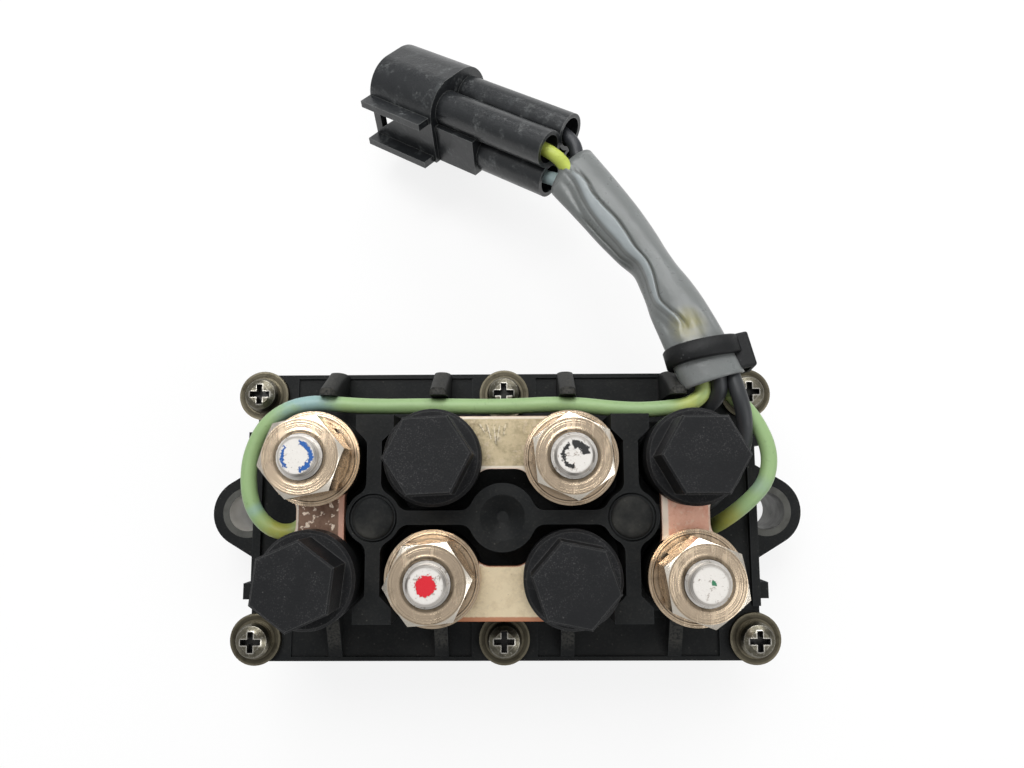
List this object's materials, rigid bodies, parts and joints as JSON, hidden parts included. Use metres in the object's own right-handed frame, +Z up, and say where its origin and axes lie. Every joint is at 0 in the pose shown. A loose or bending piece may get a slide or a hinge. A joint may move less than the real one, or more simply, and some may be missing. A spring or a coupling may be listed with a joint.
{
  "type": "trim tilt relay",
  "caption": "Change-over relay block with threaded studs, plated bus bars and a short plug lead, for a trim and tilt motor.",
  "frame": {"origin": "middle of the flat base, at the level it rests on", "axes": "+Z up through the studs, +X along the long side through both ears, +Y towards the side where the lead leaves"},
  "size_m": [0.0986, 0.106, 0.0465],
  "materials": {
    "case_plastic": "moulded, satin",
    "block_plastic": "moulded, dusty matte",
    "seal_rubber": "matt",
    "zinc_steel": "dull zinc plate",
    "chromate_steel": "olive chromate, worn bright",
    "stud_steel": "bright plated, top faces paint marked",
    "nickel_steel": "nickel plate",
    "black_bolt": "matt black, dusty",
    "brass_post": "machined",
    "tinned_copper": "tin plate over copper, copper at the cut edges",
    "soft_steel": "zinc plate",
    "bobbin_plastic": "natural nylon",
    "coil_copper": "enamelled winding",
    "spring_steel": "bright wire",
    "carrier_plastic": "phenolic moulding",
    "contact_copper": "bare copper",
    "green_wire": "satin vinyl",
    "black_wire": "satin vinyl",
    "lead_insulation": "satin vinyl",
    "grey_vinyl": "semi-gloss vinyl sleeve",
    "tie_plastic": "nylon",
    "plug_plastic": "semi-gloss moulding",
    "tinned_pin": "tin plate"
  },
  "bodies": {
    "housing": {"bobbin_left": "bobbin_plastic", "bobbin_right": "bobbin_plastic", "bus_bar_front": "tinned_copper", "bus_bar_left": "tinned_copper", "bus_bar_rear": "tinned_copper", "bus_bar_right": "tinned_copper", "cable_tie": "tie_plastic", "case_screw_front_left": "chromate_steel", "case_screw_front_middle": "chromate_steel", "case_screw_front_right": "chromate_steel", "case_screw_rear_left": "chromate_steel", "case_screw_rear_middle": "chromate_steel", "case_screw_rear_right": "chromate_steel", "case_seal": "seal_rubber", "case_washers": "chromate_steel", "coil_left": "coil_copper", "coil_right": "coil_copper", "connector_housing": "plug_plastic", "connector_leads": "lead_insulation", "connector_pins": "tinned_pin", "connector_seals": "seal_rubber", "contact_bolt_front_left": "black_bolt", "contact_bolt_front_right": "black_bolt", "contact_bolt_rear_left": "black_bolt", "contact_bolt_rear_right": "black_bolt", "contact_posts": "brass_post", "ear_collars": "zinc_steel", "fixed_core_left": "soft_steel", "fixed_core_right": "soft_steel", "flat_washers": "nickel_steel", "harness_sheath": "grey_vinyl", "lower_case": "case_plastic", "nut_black": "nickel_steel", "nut_blue": "nickel_steel", "nut_green": "nickel_steel", "nut_red": "nickel_steel", "return_spring_left": "spring_steel", "return_spring_right": "spring_steel", "solenoid_can_left": "soft_steel", "solenoid_can_right": "soft_steel", "solenoid_lid_left": "soft_steel", "solenoid_lid_right": "soft_steel", "spring_washers": "nickel_steel", "stud_black": "stud_steel", "stud_blue": "stud_steel", "stud_green": "stud_steel", "stud_red": "stud_steel", "terminal_block": "block_plastic", "wire_black_long": "black_wire", "wire_black_short": "black_wire", "wire_green_left": "green_wire", "wire_green_right": "green_wire"},
    "plunger_set_left": {"plunger_left": "soft_steel", "contact_carrier_left": "carrier_plastic", "rest_bridge_left": "contact_copper", "drive_bridge_left": "contact_copper"},
    "plunger_set_right": {"plunger_right": "soft_steel", "contact_carrier_right": "carrier_plastic", "rest_bridge_right": "contact_copper", "drive_bridge_right": "contact_copper"}
  },
  "joints": [
    {"name": "plunger_slide_left", "type": "slide", "parent": "housing", "child": "plunger_set_left", "axis": [0, 0, 1], "range_m": [-0.002, 0], "stiffness_N_per_m": 300, "springref_m": 0.004, "deforming": ["return_spring_left"]},
    {"name": "plunger_slide_right", "type": "slide", "parent": "housing", "child": "plunger_set_right", "axis": [0, 0, 1], "range_m": [-0.002, 0], "stiffness_N_per_m": 300, "springref_m": 0.004, "deforming": ["return_spring_right"]}
  ]
}
